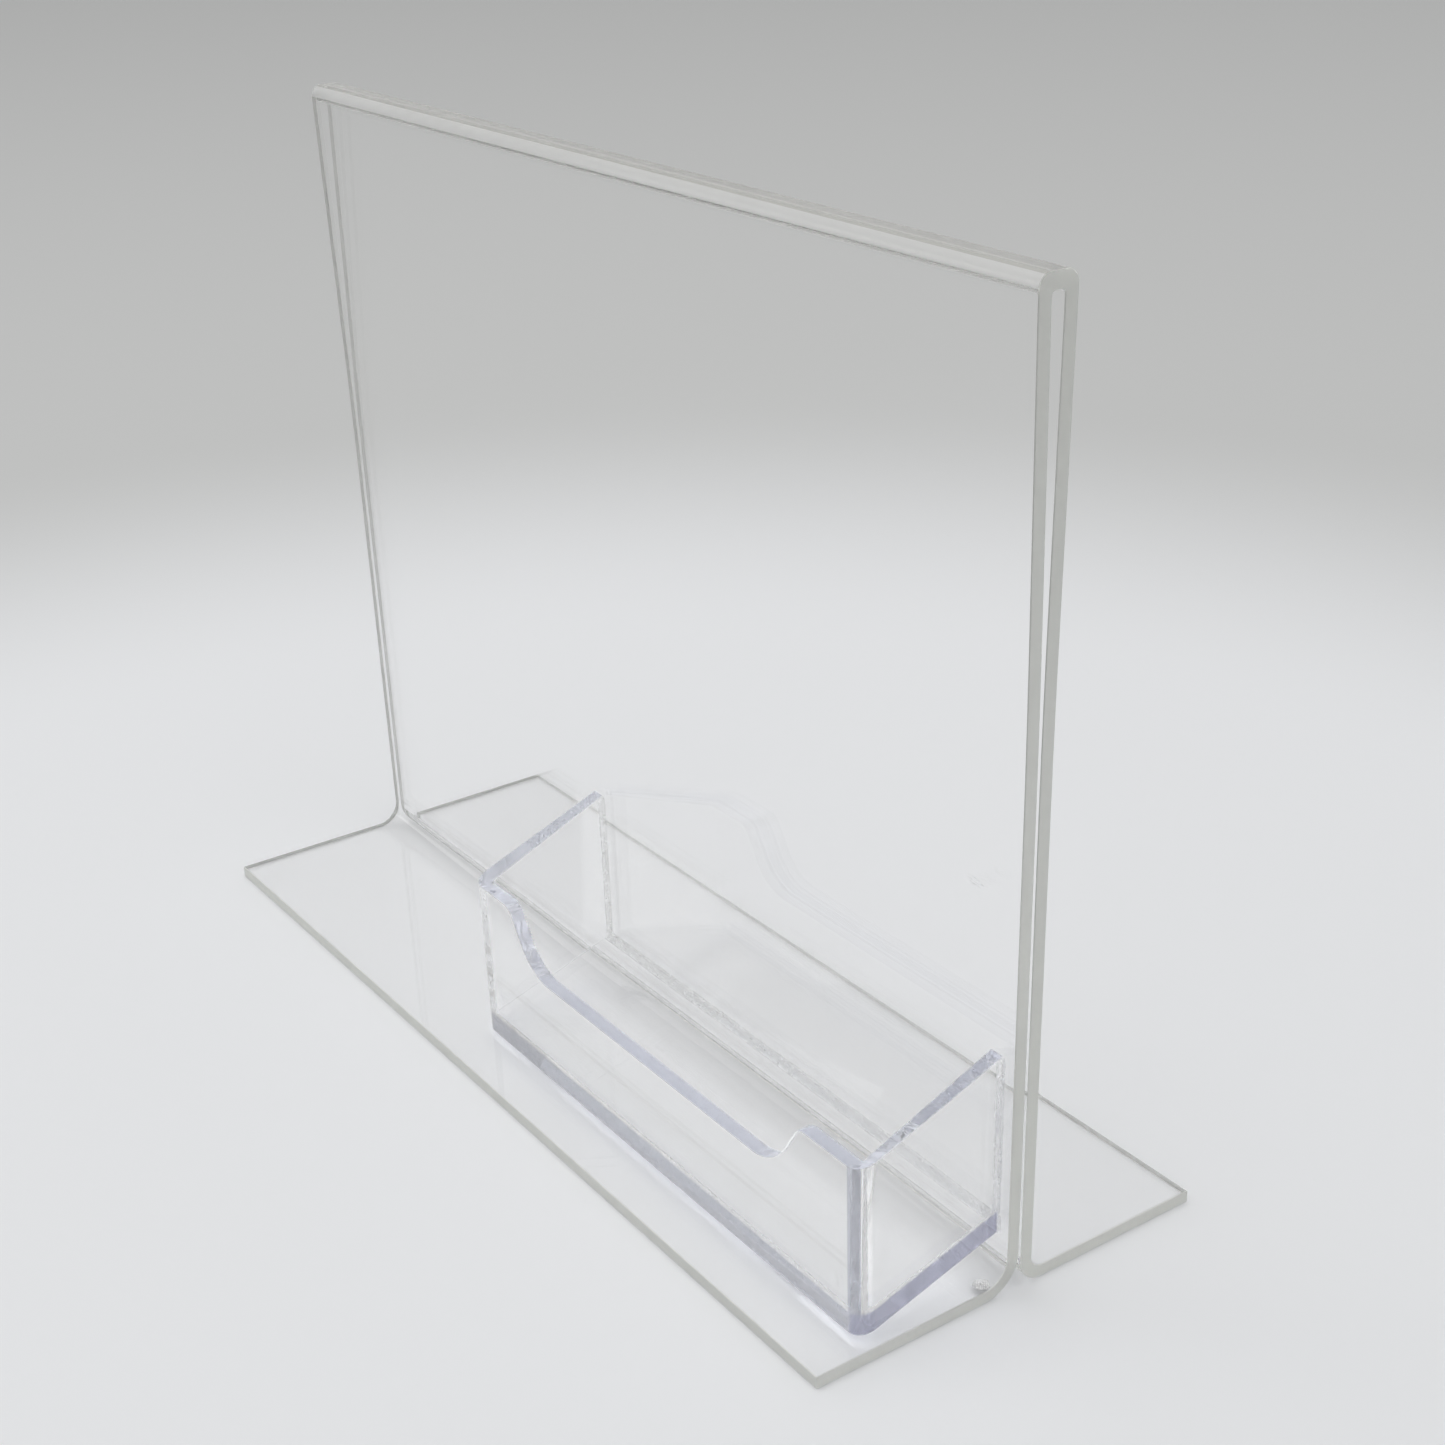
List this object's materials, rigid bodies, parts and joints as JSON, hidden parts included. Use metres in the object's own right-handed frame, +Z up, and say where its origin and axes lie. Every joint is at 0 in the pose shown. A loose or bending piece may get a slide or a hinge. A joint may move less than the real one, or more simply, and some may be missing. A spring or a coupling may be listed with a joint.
{
  "type": "sign holder",
  "caption": "Clear upright sign holder bent from one acrylic sheet on two flat feet, with an open-backed card pocket cemented to its front leaf.",
  "frame": {"origin": "middle of the two feet's footprint, on the surface they rest on", "axes": "+X along the sign, towards the pocket's end; +Y from the pocket's side to the rear foot; +Z up"},
  "size_m": [0.1778, 0.0664, 0.1375],
  "materials": {
    "clear_acrylic": "polished clear faces, matt saw-cut edges",
    "clear_styrene": "polished clear, faint blue-violet tint",
    "set_cement": "clear with trapped bubbles"
  },
  "bodies": {
    "root": {"folded_sheet": "clear_acrylic", "card_pocket": "clear_styrene", "left_wall_cement": "set_cement", "right_wall_cement": "set_cement", "floor_cement": "set_cement", "cement_drop": "set_cement"}
  },
  "joints": []
}
